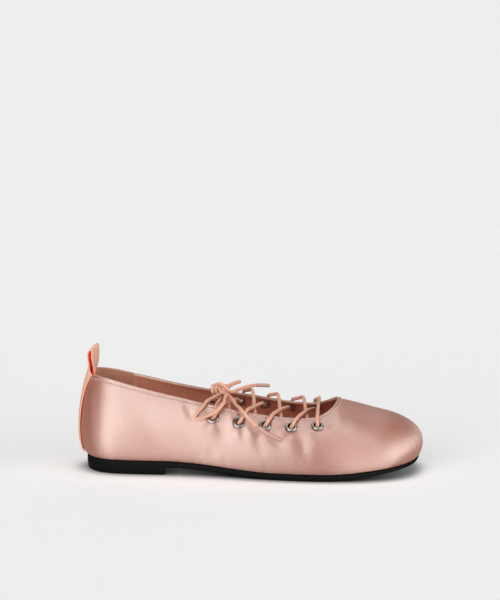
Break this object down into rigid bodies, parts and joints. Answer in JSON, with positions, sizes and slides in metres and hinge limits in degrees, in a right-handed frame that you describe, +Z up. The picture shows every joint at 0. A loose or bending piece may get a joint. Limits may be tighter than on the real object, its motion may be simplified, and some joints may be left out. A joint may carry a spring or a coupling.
{
  "type": "lace-up ballet flat",
  "caption": "Low-cut satin flat shoe on a thin sole with a low heel, laced over an open instep with an elastic cord and bow, pull loop at the heel.",
  "frame": {"origin": "middle of the shoe's outline on the floor plane it stands on", "axes": "+X to the toe, +Y to the inner side of the foot, -Y to the outer side, +Z up"},
  "size_m": [0.2506, 0.0909, 0.0896],
  "materials": {
    "sole": "matte black unit sole",
    "sock": "matte",
    "satin": "satin sheen",
    "tape": "ribbed tape",
    "nickel": "polished nickel",
    "lace": "braided elastic",
    "aglet": "satin"
  },
  "bodies": {
    "root": {"outsole": "sole", "insole": "sock", "upper": "satin", "heel_tape": "tape", "eyelet_lateral_1": "nickel", "eyelet_lateral_2": "nickel", "eyelet_lateral_3": "nickel", "eyelet_lateral_4": "nickel", "eyelet_lateral_5": "nickel", "eyelet_medial_1": "nickel", "eyelet_medial_2": "nickel", "eyelet_medial_3": "nickel", "eyelet_medial_4": "nickel", "eyelet_medial_5": "nickel", "lace_bar": "lace", "lace_cross_1": "lace", "lace_cross_2": "lace", "lace_cross_3": "lace", "lace_cross_4": "lace", "lace_knot": "lace", "lace_loop_lateral": "lace", "lace_loop_medial": "lace", "lace_end_lateral": "lace", "lace_end_medial": "lace", "aglet_lateral": "aglet", "aglet_medial": "aglet"}
  },
  "joints": []
}
